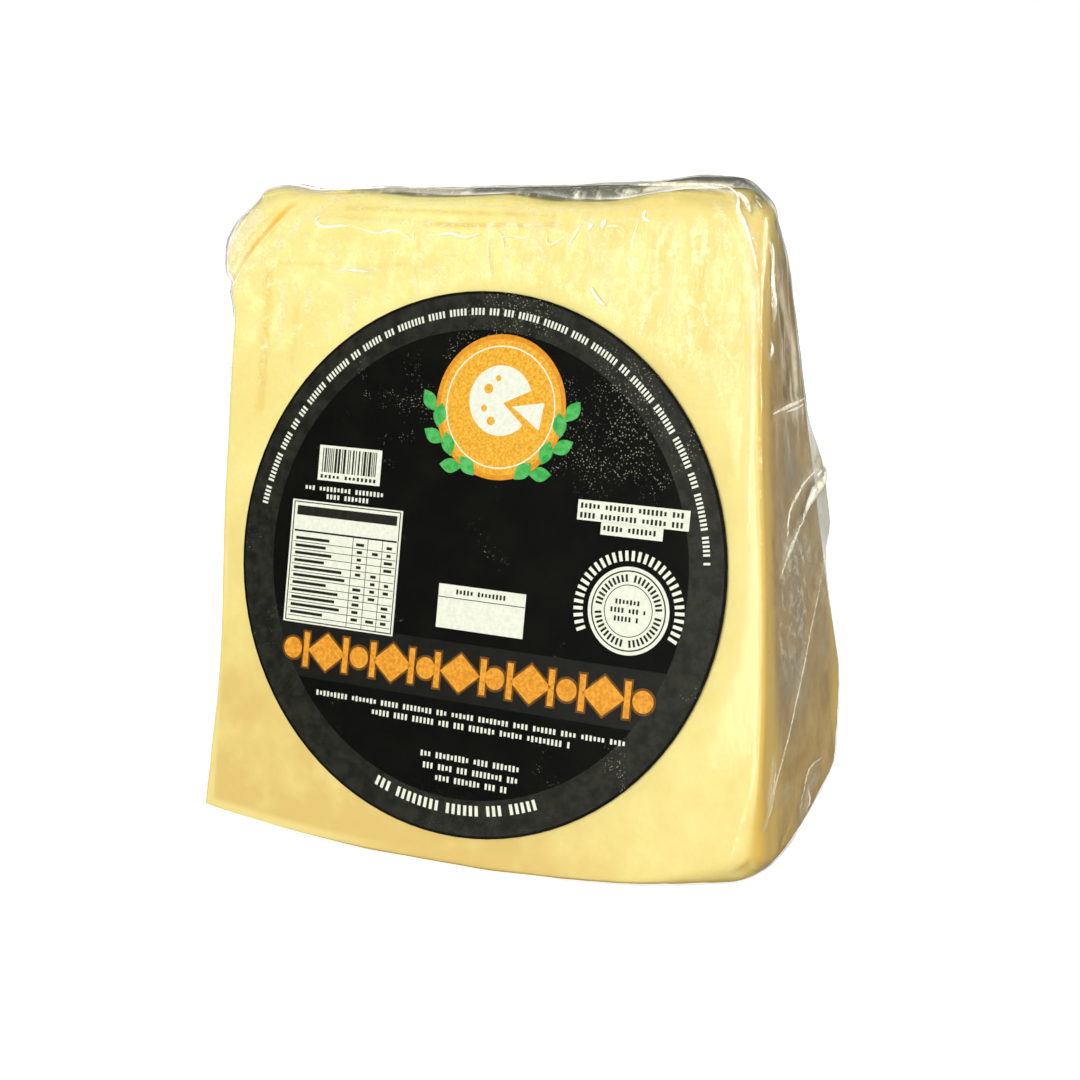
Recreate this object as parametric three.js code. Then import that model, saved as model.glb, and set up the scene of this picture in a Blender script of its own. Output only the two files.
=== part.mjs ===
// A parmesan chunk: one wedge cut from a wheel of hard cheese, drawn tight in clear stretch
// film, with a round paper label on its cut face.
// The wedge stands on the wheel's outer rind with its tip up. The wheel's axis lies along X,
// so X runs across the cut face, the cut face looks towards -Y and leans back, and the
// wheel's two flat faces are the left and right sides.
// Millimetres, +Z up. The origin is on the table, under the middle of the chunk's box.

import * as THREE from 'three';
import { mergeVertices } from 'three/addons/utils/BufferGeometryUtils.js';

// The wedge of cheese, measured outside its film. Each cut face leans in towards the tip.
const tipHeight = 124.5;
const frontAtTip = -4;
const frontLean = THREE.MathUtils.degToRad(11.74);
const backAtTip = 6.1;
const backLean = THREE.MathUtils.degToRad(10.9);
const leftAtTip = -54.7;
const leftAtRind = -56.6;
const rightAtTip = 53.1;
const rightAtRind = 58.8;

// The rind under it: the wheel's outer curve, bulged across its width and worn to a flat spot
const wheelRadius = 141;
const rindRise = 4.8;
const rindBulgePower = 2.2;
const flatSpotDepth = 0.7;

// The pared strip along the front of the tip
const stripHeight = 4.6;
const stripDepth = 1.1;
const stripLeft = -38;
const stripRight = 38;
const stripFade = 8;

// How softly the edges are rounded, the corners that are worn further, and one that stays crisp
const edgeRadius = 2.2;
const wornCorners = [
  { at: [-56, -3, 124], reach: 20, extra: 6.5 },
  { at: [54, -3, 124], reach: 22, extra: 5 },
  { at: [58, -28, 4], reach: 22, extra: 3.5 },
  { at: [58, 2, 4], reach: 24, extra: 7 },
  { at: [58, 28, 6], reach: 30, extra: 12 },
  { at: [-57, 28, 6], reach: 26, extra: 7 },
  { at: [-57, -28, 6], reach: 44, extra: -1.6 },
];

// The film's crests along the tip: the middle of each along X, its half length and its height
const filmCrests = [
  { x: -39, halfLength: 14, height: 0.8 },
  { x: 43, halfLength: 12, height: 1.1 },
];

// The lip at the cut face's upper left corner, between the edge and a crease pressed by the film
const lipMiddle = 115;
const lipHalfHeight = 9.5;
const lipBulge = 4.2;
const creaseDepth = 1.3;
const creaseHalfWidth = 2.4;
const creaseCentre = new THREE.Vector2(-32.5, 99);
const creaseRadius = 21.5;
const creaseEnds = [88, 122];

// The tuck of film that stands off the back right edge
const tuckMiddle = 68;
const tuckHalfHeight = 19;
const tuckBulge = 2.6;
const tuckReach = 9;

// The paper label, clear of the film that it shows through
const labelDiameter = 100;
const labelThickness = 0.3;
const labelGap = 0.3;
const labelX = 0.9;
const labelDrop = 68.8;
const labelSides = 96;

// Grid of the wrapped wedge: cells across, deep and high, and how much finer they are by the edges
const cellsAcross = 30;
const cellsDeep = 8;
const cellsHigh = 30;
const edgeFineness = 0.6;

const { clamp, lerp, smoothstep } = THREE.MathUtils;

// A smooth hump: 1 at 0, and 0 from 1 outwards
function hump(distance) {
  return 1 - smoothstep(Math.abs(distance), 0, 1);
}

// Moves a place from -1 to 1 towards the nearer end, so that cells are finer there
function nearEdges(v) {
  return v + edgeFineness * Math.sin(Math.PI * v) / Math.PI;
}

// Where the front and back cut faces stand at a height
function frontAt(z) {
  return frontAtTip - (tipHeight - z) * Math.tan(frontLean);
}

function backAt(z) {
  return backAtTip + (tipHeight - z) * Math.tan(backLean);
}

// Height of the rind above the table, flat where the chunk rests
function rindHeight(x, y) {
  const acrossWidth = rindRise * Math.abs(x / rightAtRind) ** rindBulgePower;
  const roundWheel = y * y / (2 * wheelRadius);
  return Math.max(0, acrossWidth + roundWheel - flatSpotDepth);
}

function tipTop(x) {
  return filmCrests.reduce((z, crest) => z + crest.height * hump((x - crest.x) / crest.halfLength),
    tipHeight);
}

// The edge radius at a point, larger towards the worn corners
function edgeRadiusAt(point) {
  return wornCorners.reduce((radius, corner) => {
    const distance = point.distanceTo(new THREE.Vector3(...corner.at));
    return radius + corner.extra * hump(distance / corner.reach);
  }, edgeRadius);
}

// Rounds the wedge's edges: a point within a radius of two or three faces moves inwards.
// fromFace holds the distance to the nearer face along X, Y and Z, and side its direction.
function roundEdges(point, fromFace, side) {
  const wanted = edgeRadiusAt(point);
  const depthRadius = Math.min(wanted, 0.4 * (backAt(point.z) - frontAt(point.z)));
  const radii = new THREE.Vector3(wanted, depthRadius, wanted);
  const near = new THREE.Vector3();
  for (const axis of ['x', 'y', 'z']) {
    near[axis] = Math.max(0, 1 - fromFace[axis] / radii[axis]);
  }
  const inwards = near.clone().multiply(radii).multiply(side).multiplyScalar(1 - 1 / near.length());
  point.sub(inwards);
}

// The pared strip: the front leans in along the tip, between the strip's ends
function pareStrip(point, front) {
  const along = smoothstep(point.x, stripLeft - stripFade, stripLeft + stripFade)
    * (1 - smoothstep(point.x, stripRight - stripFade, stripRight + stripFade));
  const drop = tipHeight - point.z;
  point.y += front * along * stripDepth * clamp(1 - drop / stripHeight, 0, 1);
}

// The lip bulges out to the left, and the crease runs round it on the cut face
function pressLip(point, front, left) {
  point.x -= left * lipBulge * hump((point.z - lipMiddle) / lipHalfHeight);
  const fromCentre = new THREE.Vector2(point.x, point.z).sub(creaseCentre);
  if (fromCentre.x > 0) return;
  const ends = smoothstep(point.z, creaseEnds[0], creaseEnds[0] + 12)
    * (1 - smoothstep(point.z, creaseEnds[1] - 4, creaseEnds[1] + 2));
  const fromCrease = Math.abs(fromCentre.length() - creaseRadius);
  point.y += front * ends * creaseDepth * hump(fromCrease / creaseHalfWidth);
}

// The tuck stands out diagonally from the back right edge
function raiseTuck(point) {
  const edge = new THREE.Vector3(lerp(rightAtRind, rightAtTip, point.z / tipHeight),
    backAt(point.z), point.z);
  const bulge = tuckBulge * hump((point.z - tuckMiddle) / tuckHalfHeight)
    * hump(point.distanceTo(edge) / tuckReach);
  point.x += bulge * Math.SQRT1_2;
  point.y += bulge * Math.SQRT1_2;
}

// One point of the wrapped wedge. across and deep run from -1 to 1, high from 0 to 1.
function wedgePoint(across, deep, high) {
  const z0 = high * tipHeight;
  const left = lerp(leftAtRind, leftAtTip, high);
  const right = lerp(rightAtRind, rightAtTip, high);
  const x = lerp(left, right, (across + 1) / 2);
  const y0 = lerp(frontAt(z0), backAt(z0), (deep + 1) / 2);
  const z = lerp(rindHeight(x, y0), tipTop(x), high);
  const front = frontAt(Math.min(z, tipHeight));
  const back = backAt(Math.min(z, tipHeight));
  const point = new THREE.Vector3(x, lerp(front, back, (deep + 1) / 2), z);

  const side = new THREE.Vector3(Math.sign(across), Math.sign(deep), high > 0.5 ? 1 : -1);
  const fromFace = new THREE.Vector3(
    Math.min(x - left, right - x),
    Math.min(point.y - front, back - point.y),
    Math.min(z - rindHeight(x, y0), tipTop(x) - z),
  );
  roundEdges(point, fromFace, side);
  const towardsFront = clamp(-deep, 0, 1);
  pareStrip(point, towardsFront);
  pressLip(point, towardsFront, clamp(-across, 0, 1) ** 3);
  raiseTuck(point);
  return point;
}

function wrappedCheeseGeometry() {
  const box = new THREE.BoxGeometry(2, 2, 2, cellsAcross, cellsDeep, cellsHigh);
  box.deleteAttribute('normal');
  box.deleteAttribute('uv');
  const geometry = mergeVertices(box);
  const places = geometry.getAttribute('position');
  for (let i = 0; i < places.count; i += 1) {
    const point = wedgePoint(nearEdges(places.getX(i)), nearEdges(places.getY(i)),
      (nearEdges(places.getZ(i)) + 1) / 2);
    places.setXYZ(i, point.x, point.y, point.z);
  }
  geometry.computeVertexNormals();
  return geometry;
}

function makeWrappedCheese() {
  const material = new THREE.MeshStandardMaterial({ color: 0xf6e296, roughness: 0.32, metalness: 0 });
  const mesh = new THREE.Mesh(wrappedCheeseGeometry(), material);
  mesh.name = 'wrapped_cheese';
  return mesh;
}

// The label lies along the leaning cut face
function makeLabel() {
  const geometry = new THREE.CylinderGeometry(labelDiameter / 2, labelDiameter / 2, labelThickness,
    labelSides);
  const material = new THREE.MeshStandardMaterial({ color: 0x20211c, roughness: 0.4, metalness: 0 });
  const mesh = new THREE.Mesh(geometry, material);
  mesh.name = 'label';
  mesh.rotation.x = Math.PI - frontLean;
  const outwards = new THREE.Vector3(0, -Math.cos(frontLean), Math.sin(frontLean));
  const centre = new THREE.Vector3(labelX, frontAtTip - labelDrop * Math.sin(frontLean),
    tipHeight - labelDrop * Math.cos(frontLean));
  mesh.position.copy(centre).addScaledVector(outwards, labelGap + labelThickness / 2);
  return mesh;
}

const chunk = new THREE.Group();
chunk.name = 'parmesan_chunk';
chunk.add(makeWrappedCheese(), makeLabel());

export default chunk;
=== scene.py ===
"""A parmesan chunk: a wedge cut from a wheel of hard cheese, standing on its rind with the tip up,
drawn tight in clear stretch film that covers a round paper label on the cut face."""

import math
import random

import bmesh
import bpy
import numpy as np
from mathutils import Euler, Matrix, Vector, noise
from mathutils.bvhtree import BVHTree


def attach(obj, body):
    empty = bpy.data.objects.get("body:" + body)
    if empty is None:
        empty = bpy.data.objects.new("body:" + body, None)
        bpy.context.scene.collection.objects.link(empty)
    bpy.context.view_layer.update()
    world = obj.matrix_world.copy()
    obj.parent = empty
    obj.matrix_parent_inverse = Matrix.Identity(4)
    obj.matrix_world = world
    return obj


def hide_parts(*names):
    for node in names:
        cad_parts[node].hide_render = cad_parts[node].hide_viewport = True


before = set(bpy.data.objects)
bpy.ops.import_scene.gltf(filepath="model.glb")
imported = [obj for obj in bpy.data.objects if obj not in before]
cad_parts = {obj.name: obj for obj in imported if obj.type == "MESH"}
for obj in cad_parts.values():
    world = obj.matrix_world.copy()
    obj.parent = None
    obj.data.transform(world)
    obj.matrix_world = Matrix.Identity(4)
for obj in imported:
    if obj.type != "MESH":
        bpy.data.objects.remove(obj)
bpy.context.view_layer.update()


# Camera. It stands to the right of the cut face, a little above it, and is held slightly askew.
MM = 0.001
camera_azimuth = math.radians(26.84)
camera_elevation = math.radians(12.64)
camera_roll = math.radians(-2.33)
camera_distance = 351.1 * MM
camera_aim = Vector((5.55, 1.16, 58.02)) * MM


def direction(azimuth, elevation):
    """From the chunk outwards. Azimuth 0 is in front of the cut face, and 90 at its right."""
    level = math.cos(elevation)
    return Vector((math.sin(azimuth) * level, -math.cos(azimuth) * level, math.sin(elevation)))


bpy.ops.object.select_all(action='DESELECT')
bpy.ops.object.camera_add(
    location=camera_aim + direction(camera_azimuth, camera_elevation) * camera_distance)
camera = bpy.context.object
camera.name = "camera"
level_view = Euler((math.pi / 2 - camera_elevation, 0, camera_azimuth)).to_matrix()
camera.rotation_euler = (level_view @ Matrix.Rotation(camera_roll, 3, 'Z')).to_euler()
camera.data.lens = 61.34
camera.data.clip_start = 10 * MM
bpy.context.scene.camera = camera


# Studio. A pale floor lit from below, one large softbox in front, and weaker ones behind and at
# both sides. Colours go to the screen as they are, with no film-like curve.
bpy.context.scene.view_settings.view_transform = 'Standard'


def linear(colour):
    """An sRGB hex colour as linear red, green, blue and alpha."""
    parts = [int(colour[i:i + 2], 16) / 255 for i in (1, 3, 5)]
    return [p / 12.92 if p <= 0.04045 else ((p + 0.055) / 1.055) ** 2.4 for p in parts] + [1]


def add_node(owner, kind, inputs=None, **settings):
    """Adds a node to a material or world, with its settings, and its inputs' values or links."""
    made = owner.node_tree.nodes.new(kind)
    for name, value in settings.items():
        setattr(made, name, value)
    for socket, value in (inputs or {}).items():
        if isinstance(value, bpy.types.NodeSocket):
            owner.node_tree.links.new(value, made.inputs[socket])
        else:
            made.inputs[socket].default_value = value
    return made


def start_nodes(owner):
    owner.use_nodes = True
    owner.node_tree.nodes.clear()
    return owner


def new_material(name):
    """An empty material, and the place on the object that its patterns are drawn by."""
    made = start_nodes(bpy.data.materials.new(name))
    return made, add_node(made, 'ShaderNodeTexCoord').outputs['Object']


def clouds(owner, point, size, detail, roughness, distortion=0):
    """Soft noise from 0 to 1, in clouds of a size in millimetres."""
    return add_node(owner, 'ShaderNodeTexNoise', {
        'Vector': point, 'Scale': 1 / (size * MM), 'Detail': detail, 'Roughness': roughness,
        'Distortion': distortion}).outputs['Fac']


def mapped(owner, value, low, high, to_low=0, to_high=1, **settings):
    """Carries a value from the range low to high over to another range, and holds it inside."""
    return add_node(owner, 'ShaderNodeMapRange', {
        'Value': value, 'From Min': low, 'From Max': high, 'To Min': to_low, 'To Max': to_high},
        **settings).outputs[0]


def calculate(owner, operation, *values, **settings):
    return add_node(owner, 'ShaderNodeMath', dict(enumerate(values)), operation=operation,
                    **settings).outputs[0]


def mix_colours(owner, share, first, second):
    """Share 0 gives the first and 1 the second. Each is a hex colour or a node's output."""
    first, second = (linear(c) if isinstance(c, str) else c for c in (first, second))
    return add_node(owner, 'ShaderNodeMix', {0: share, 6: first, 7: second},
                    data_type='RGBA').outputs[2]


def painted(owner, name):
    """A value that paint has kept on the mesh."""
    return add_node(owner, 'ShaderNodeAttribute', attribute_name=name).outputs['Fac']


def softbox(name, azimuth, elevation, distance, size, power, colour):
    """A square soft light that faces the middle of the chunk. Angles are in degrees, its distance
    and size in metres, and its power in watts."""
    towards = direction(math.radians(azimuth), math.radians(elevation))
    bpy.ops.object.light_add(type='AREA', location=camera_aim + towards * distance)
    light = bpy.context.object
    light.name = name
    light.rotation_euler = towards.to_track_quat('Z', 'Y').to_euler()
    light.data.shape = 'SQUARE'
    light.data.size = size
    light.data.energy = power
    light.data.color = linear(colour)[:3]


softbox("key_softbox", 8, 10, 1.1, 0.75, 15.1, "#FFFCF4")
softbox("back_softbox", 212, 16, 1.1, 0.5, 2.4, "#FFFCF6")
softbox("side_softbox", 112, 12, 1.1, 0.3, 6.4, "#FFFCFA")
softbox("left_softbox", -82, 24, 1.1, 0.4, 2.2, "#FFFCF6")

world = start_nodes(bpy.data.worlds.new("studio_room"))
bpy.context.scene.world = world
seen = add_node(world, 'ShaderNodeLightPath').outputs['Is Camera Ray']
room = add_node(world, 'ShaderNodeBackground', {'Color': linear("#F2F4F6"), 'Strength': 0.1})
paper_white = add_node(world, 'ShaderNodeBackground', {'Color': linear("#FFFFFF"), 'Strength': 1})
shown = add_node(world, 'ShaderNodeMixShader', {
    0: seen, 1: room.outputs[0], 2: paper_white.outputs[0]})
add_node(world, 'ShaderNodeOutputWorld', {'Surface': shown.outputs[0]})

# The floor is a light table, white to the camera and pale grey to what stands on it.
bpy.ops.object.select_all(action='DESELECT')
bpy.ops.mesh.primitive_plane_add(size=12, location=(0, 0, -0.1 * MM))
floor = bpy.context.object
floor.name = "floor"
table_top = start_nodes(bpy.data.materials.new("pale_lit_table"))
matt = add_node(table_top, 'ShaderNodeBsdfPrincipled', {
    'Base Color': linear("#B4B4B2"), 'Roughness': 0.9, 'Specular IOR Level': 0.1})
seen = add_node(table_top, 'ShaderNodeLightPath').outputs['Is Camera Ray']
glow = add_node(table_top, 'ShaderNodeEmission', {'Color': linear("#FFFFFF"), 'Strength': seen})
lit = add_node(table_top, 'ShaderNodeAddShader', {0: matt.outputs[0], 1: glow.outputs[0]})
add_node(table_top, 'ShaderNodeOutputMaterial', {'Surface': lit.outputs[0]})
floor.data.materials.append(table_top)


# The cheese: a wedge of hard, dense paste. Its front, back and tip are cut smooth, and its left,
# right and bottom are the wheel's thin browner rind. Sizes are in millimetres.
TIP_HEIGHT = 124.5
FRONT_AT_TIP, FRONT_SLOPE = -4, math.tan(math.radians(11.74))
BACK_AT_TIP, BACK_SLOPE = 6.1, math.tan(math.radians(10.9))
LEFT_AT_RIND, LEFT_AT_TIP = -56.6, -54.7
RIGHT_AT_RIND, RIGHT_AT_TIP = 58.8, 53.1
WHEEL_RADIUS, RIND_RISE, RIND_BULGE_POWER, FLAT_SPOT_DEPTH = 141, 4.8, 2.2, 0.7
# The pared strip along the front of the tip
STRIP_HEIGHT, STRIP_DEPTH, STRIP_REACH, STRIP_FADE = 4.6, 1.1, 38, 8
EDGE_RADIUS, LARGEST_SHARE = 1.4, 0.4  # no edge's radius is more than this share of the thickness
WORN_CORNERS = [  # where, how far it reaches, and how much it adds to the edge's radius
    ((-56, -3, 124), 20, 5.4),
    ((54, -3, 124), 22, 7),
    ((58, -28, 4), 24, 5),
    ((58, 2, 4), 24, 7),
    ((58, 28, 6), 29, 15),
    ((-57, 28, 6), 26, 7),
    ((-57, -28, 6), 44, -0.9),
]
# The lip at the upper left corner: its height's middle, its reach up and down, and how far it
# stands out. An arc of a crease parts it from the cut face.
LIP_MIDDLE, LIP_ABOVE, LIP_BELOW, LIP_OF_CHEESE = 115, 9.5, 15, 3.6
CREASE_DEPTH, CREASE_HALF_WIDTH = 1.3, 1.7
CREASE_CENTRE, CREASE_RADIUS = (-19.5, 85.5), 43.2
CREASE_FOOT, CREASE_HEAD = (100, 108), (119, 124)
CREASE_LINE_FOOT, CREASE_LINE_HEAD, CREASE_LINE_SIDE = (109.5, 113.5), (120, 123.5), (26, 32)
# The back swells low at the right, the right side flares out, and the left side is hollowed. Each
# has its depth, the height of its middle and half its height.
BELLY, BELLY_MIDDLE, BELLY_HALF_HEIGHT = 1.5, 25, 23
FLARE, FLARE_MIDDLE, FLARE_HALF_HEIGHT = 1.4, 45, 52
HOLLOW, HOLLOW_MIDDLE, HOLLOW_HALF_HEIGHT = 1.3, 34, 38


def smooth(value, low, high):
    """Rises softly from 0 at low to 1 at high."""
    t = np.clip((value - low) / (high - low), 0, 1)
    return t * t * (3 - 2 * t)


def hump(distance):
    """1 at 0, and 0 from 1 outwards."""
    return 1 - smooth(np.abs(distance), 0, 1)


def near_edges(v, fineness):
    """Moves places from -1 to 1 towards the nearer end, so that cells are finer there."""
    return v + fineness * np.sin(np.pi * v) / np.pi


def left_at(high):
    """Where the left side stands, from 0 at the rind to 1 at the tip."""
    return LEFT_AT_RIND + (LEFT_AT_TIP - LEFT_AT_RIND) * high


def right_at(high):
    return RIGHT_AT_RIND + (RIGHT_AT_TIP - RIGHT_AT_RIND) * high


def rind_height(x, y):
    across_width = RIND_RISE * np.abs(x / RIGHT_AT_RIND) ** RIND_BULGE_POWER
    return np.maximum(0, across_width + y * y / (2 * WHEEL_RADIUS) - FLAT_SPOT_DEPTH)


def front_at(z):
    return FRONT_AT_TIP - (TIP_HEIGHT - z) * FRONT_SLOPE


def back_at(z):
    return BACK_AT_TIP + (TIP_HEIGHT - z) * BACK_SLOPE


def block(name, cells):
    """A closed block from -1 to 1, its faces cut into a grid: cells holds the numbers of pieces
    that each edge along X, Y and Z is cut into, one cut after the other."""
    bpy.ops.object.select_all(action='DESELECT')
    bpy.ops.mesh.primitive_cube_add(size=2)
    piece = bpy.context.object
    piece.name = piece.data.name = name
    bpy.ops.object.mode_set(mode='EDIT')
    bpy.ops.mesh.select_mode(type='EDGE')
    for axis, passes in enumerate(cells):
        for count in passes:
            bpy.ops.mesh.select_all(action='DESELECT')
            mesh = bmesh.from_edit_mesh(piece.data)
            for edge in mesh.edges:
                along = edge.verts[0].co - edge.verts[1].co
                edge.select_set(abs(along[axis]) > 0.9 * along.length)
            bmesh.update_edit_mesh(piece.data)
            bpy.ops.mesh.subdivide(number_cuts=count - 1)
    bpy.ops.object.mode_set(mode='OBJECT')
    return piece


def places_of(piece):
    places = np.empty(len(piece.data.vertices) * 3)
    piece.data.vertices.foreach_get('co', places)
    return places.reshape(-1, 3)


def move_to(piece, places):
    piece.data.vertices.foreach_set('co', np.ascontiguousarray(places).ravel())
    piece.data.update()


def normals_of(piece):
    normals = np.empty(len(piece.data.vertices) * 3)
    piece.data.vertices.foreach_get('normal', normals)
    return normals.reshape(-1, 3)


def paint(piece, name, values):
    """Keeps one value for each point, for the material to read."""
    piece.data.attributes.new(name, 'FLOAT', 'POINT').data.foreach_set('value', values)


def wedge(grid, tip_top, lip):
    """Shapes a block's grid into the wedge. tip_top gives the tip's height along X, and lip how
    far the upper left lip stands out. Returns the places, how deep in the corner crease each is,
    and where on the front the crease's line of painted shade is coloured."""
    across, deep, high = grid[:, 0], grid[:, 1], (grid[:, 2] + 1) / 2
    z0 = high * TIP_HEIGHT
    left, right = left_at(high), right_at(high)
    x = left + (right - left) * (across + 1) / 2
    y0 = front_at(z0) + (back_at(z0) - front_at(z0)) * (deep + 1) / 2
    under = rind_height(x, y0)
    top = tip_top(x)
    z = under + (top - under) * high
    front, back = front_at(np.minimum(z, TIP_HEIGHT)), back_at(np.minimum(z, TIP_HEIGHT))
    y = front + (back - front) * (deep + 1) / 2
    places = np.stack([x, y, z], axis=1)

    from_face = np.stack([np.minimum(x - left, right - x), np.minimum(y - front, back - y),
                          np.minimum(z - under, top - z)], axis=1)
    radius = np.full(len(x), float(EDGE_RADIUS))
    for corner, reach, extra in WORN_CORNERS:
        radius += extra * hump(np.linalg.norm(places - corner, axis=1) / reach)
    in_depth = np.minimum(radius, LARGEST_SHARE * (back_at(z) - front_at(z)))
    radii = np.stack([radius, in_depth, radius], axis=1)
    near = np.maximum(0, 1 - from_face / radii)
    length = np.maximum(np.linalg.norm(near, axis=1), 1)
    outwards = np.stack([np.sign(across), np.sign(deep), np.where(high > 0.5, 1, -1)], axis=1)
    places -= near * radii * outwards * (1 - 1 / length)[:, None]

    x, y, z = places.T  # from here on, a change to one of these changes the places
    towards_front = np.clip(-deep, 0, 1)
    strip = (smooth(x, -STRIP_REACH - STRIP_FADE, -STRIP_REACH + STRIP_FADE)
             * (1 - smooth(x, STRIP_REACH - STRIP_FADE, STRIP_REACH + STRIP_FADE)))
    drop = TIP_HEIGHT - z
    y += towards_front * strip * STRIP_DEPTH * np.clip(1 - drop / STRIP_HEIGHT, 0, 1)

    towards_left = np.clip(-across, 0, 1) ** 3
    x += HOLLOW * towards_left * hump((z - HOLLOW_MIDDLE) / HOLLOW_HALF_HEIGHT)
    from_lip = z - LIP_MIDDLE
    x -= towards_left * lip * hump(from_lip / np.where(from_lip > 0, LIP_ABOVE, LIP_BELOW))
    from_centre = places[:, [0, 2]] - CREASE_CENTRE
    ends = smooth(z, *CREASE_FOOT) * (1 - smooth(z, *CREASE_HEAD))
    crease = hump((np.linalg.norm(from_centre, axis=1) - CREASE_RADIUS) / CREASE_HALF_WIDTH)
    crease *= towards_front * ends * (from_centre[:, 0] < 0)
    y += CREASE_DEPTH * crease
    towards_back_right = np.clip(deep, 0, 1) ** 2 * np.clip(across, 0, 1)
    y += BELLY * towards_back_right * hump((z - BELLY_MIDDLE) / BELLY_HALF_HEIGHT)
    towards_right = np.clip(across, 0, 1) ** 3 * (1 - deep) / 2
    x += FLARE * towards_right * hump((z - FLARE_MIDDLE) / FLARE_HALF_HEIGHT)
    return places, crease, towards_front * smooth(-x, *CREASE_LINE_SIDE)


def cheese_top(x):
    """The cut tip, lower than the film over it. It has a knob near its left end, and a shallow dip
    right of its middle."""
    knob, behind_knob = 1.5 * hump((x + 46) / 9), 0.3 * hump((x + 28) / 16)
    dip = 1.4 * smooth(x, 2, 14) * (1 - smooth(x, 22, 36)) + 1.1 * smooth(x, -32, -14)
    return TIP_HEIGHT + knob + behind_knob - dip + 0.15 * np.sin(x / 6.1)


cheese = block("cheese", ((10, 11), (4, 6), (10, 12)))
grid = near_edges(places_of(cheese), 0.45)
places, crease, crease_shade_mask = wedge(grid, cheese_top, LIP_OF_CHEESE)
move_to(cheese, places)
normals = normals_of(cheese)
# It lies a little inside the film's form, deeper in the crease, and its faces wave softly.
UNDER_FILM, DEEPER_IN_CREASE, WAVE = 0.3, 0.3, 0.12
waves = np.array([noise.fractal(Vector(p) / 14, 0.8, 2.1, 3) for p in places])
places -= normals * (UNDER_FILM + DEEPER_IN_CREASE * crease + WAVE * waves)[:, None]

# Rind shows on the sides and bottom, from a few millimetres behind the cuts, and a band of deeper
# gold runs
# between the two: partly the paste's own colour, and partly painted light, the glow of light sinking
# into the rounded edge. Both begin further back low at the right.
x, y, z = places.T
from_cuts = np.minimum(y - front_at(z), back_at(z) - y + 4)
from_cuts -= 7 * smooth(-z, -58, -14) * smooth(x, 20, 40)
turned_away = np.maximum(smooth(np.abs(normals[:, 0]), 0.45, 0.8), smooth(-normals[:, 2], 0.5, 0.85))
paint(cheese, "rind", turned_away * smooth(from_cuts, 3.2, 6.4) * (1 - 0.7 * smooth(z, 104, 118)))
paint(cheese, "edge", turned_away * (1 - smooth(from_cuts, 4, 8)) * (1 - 0.5 * smooth(z, 92, 110)))
# Painted shade: the paste is darker, in mottled patches, low on the left and along the bottom, and a
# little at the right.
low_left = smooth(-0.5 * x - z, -62, 20)
mottled = 1 + 0.7 * np.array([noise.fractal(Vector(p) / 11, 0.7, 2.2, 4) for p in places])
painted_shade = 0.9 * low_left + 0.3 * smooth(-z, -30, -6) * (1 - 0.6 * smooth(x, 0, 30))
painted_shade += 0.24 * smooth(x, 0, 44) * smooth(z, 10, 40)
paint(cheese, "painted_shade", np.clip(painted_shade * mottled, 0, 1))
# A painted highlight, a pale band about two and a half millimetres wide, runs round the lower left
# edges of the front.
from_rim = np.minimum(x - left_at(z / TIP_HEIGHT), z - rind_height(x, y))
edge_highlight = (1 - smooth(from_rim, 1.8, 3)) * (1 - smooth(y - front_at(z), 1, 3))
paint(cheese, "edge_highlight", 0.7 * edge_highlight * (1 - smooth(x, -34, -6)) * (1 - smooth(z, 50, 76)))
crease_shade_mask *= smooth(z, *CREASE_LINE_FOOT)
paint(cheese, "crease_shade_mask", crease_shade_mask * (1 - smooth(z, *CREASE_LINE_HEAD)))
move_to(cheese, places * MM)
bpy.ops.object.shade_smooth()

# Hard cow's-milk cheese, wire cut: matt to waxy, a little light sinks in, with a fine dense grain.
paste, point = new_material("hard_cheese_wire_cut")
cloudy = mapped(paste, clouds(paste, point, 16, 4, 0.6), 0.36, 0.64)
colour = mix_colours(paste, cloudy, "#F5E496", "#FCF0A7")
# Crumbs of the grain, drawn 0.9 mm across so that they show
grain = clouds(paste, point, 0.9, 3, 0.6)
colour = mix_colours(paste, mapped(paste, grain, 0.3, 0.7, 0, 0.16), colour, "#E8C972")
# Painted light in the paste: shade low on the cheese, a highlight along the lower left edges of the
# front, and by the cuts a deeper gold, partly the paste's colour and partly painted light sinking
# into the edge
for name, shade in (("painted_shade", "#E4C779"), ("edge_highlight", "#FAE6A0"), ("edge", "#E3BE5C")):
    colour = mix_colours(paste, painted(paste, name), colour, shade)
# Painted shade in the corner crease: a line of deeper yellow a millimetre wide along its bottom
in_front = add_node(paste, 'ShaderNodeVectorMath', {0: point, 1: (1, 0, 1)}, operation='MULTIPLY')
crease_centre = Vector((CREASE_CENTRE[0], 0, CREASE_CENTRE[1])) * MM
from_centre = add_node(paste, 'ShaderNodeVectorMath', {
    0: in_front.outputs[0], 1: crease_centre}, operation='DISTANCE').outputs['Value']
off_line = calculate(paste, 'SUBTRACT', from_centre, CREASE_RADIUS * MM)
off_line = calculate(paste, 'ABSOLUTE', off_line)
line = mapped(paste, off_line, 0.9 * MM, 0.1 * MM, interpolation_type='SMOOTHSTEP')
crease_shade = calculate(paste, 'MULTIPLY', line, painted(paste, "crease_shade_mask"))
colour = mix_colours(paste, crease_shade, colour, "#F2B836")
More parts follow.
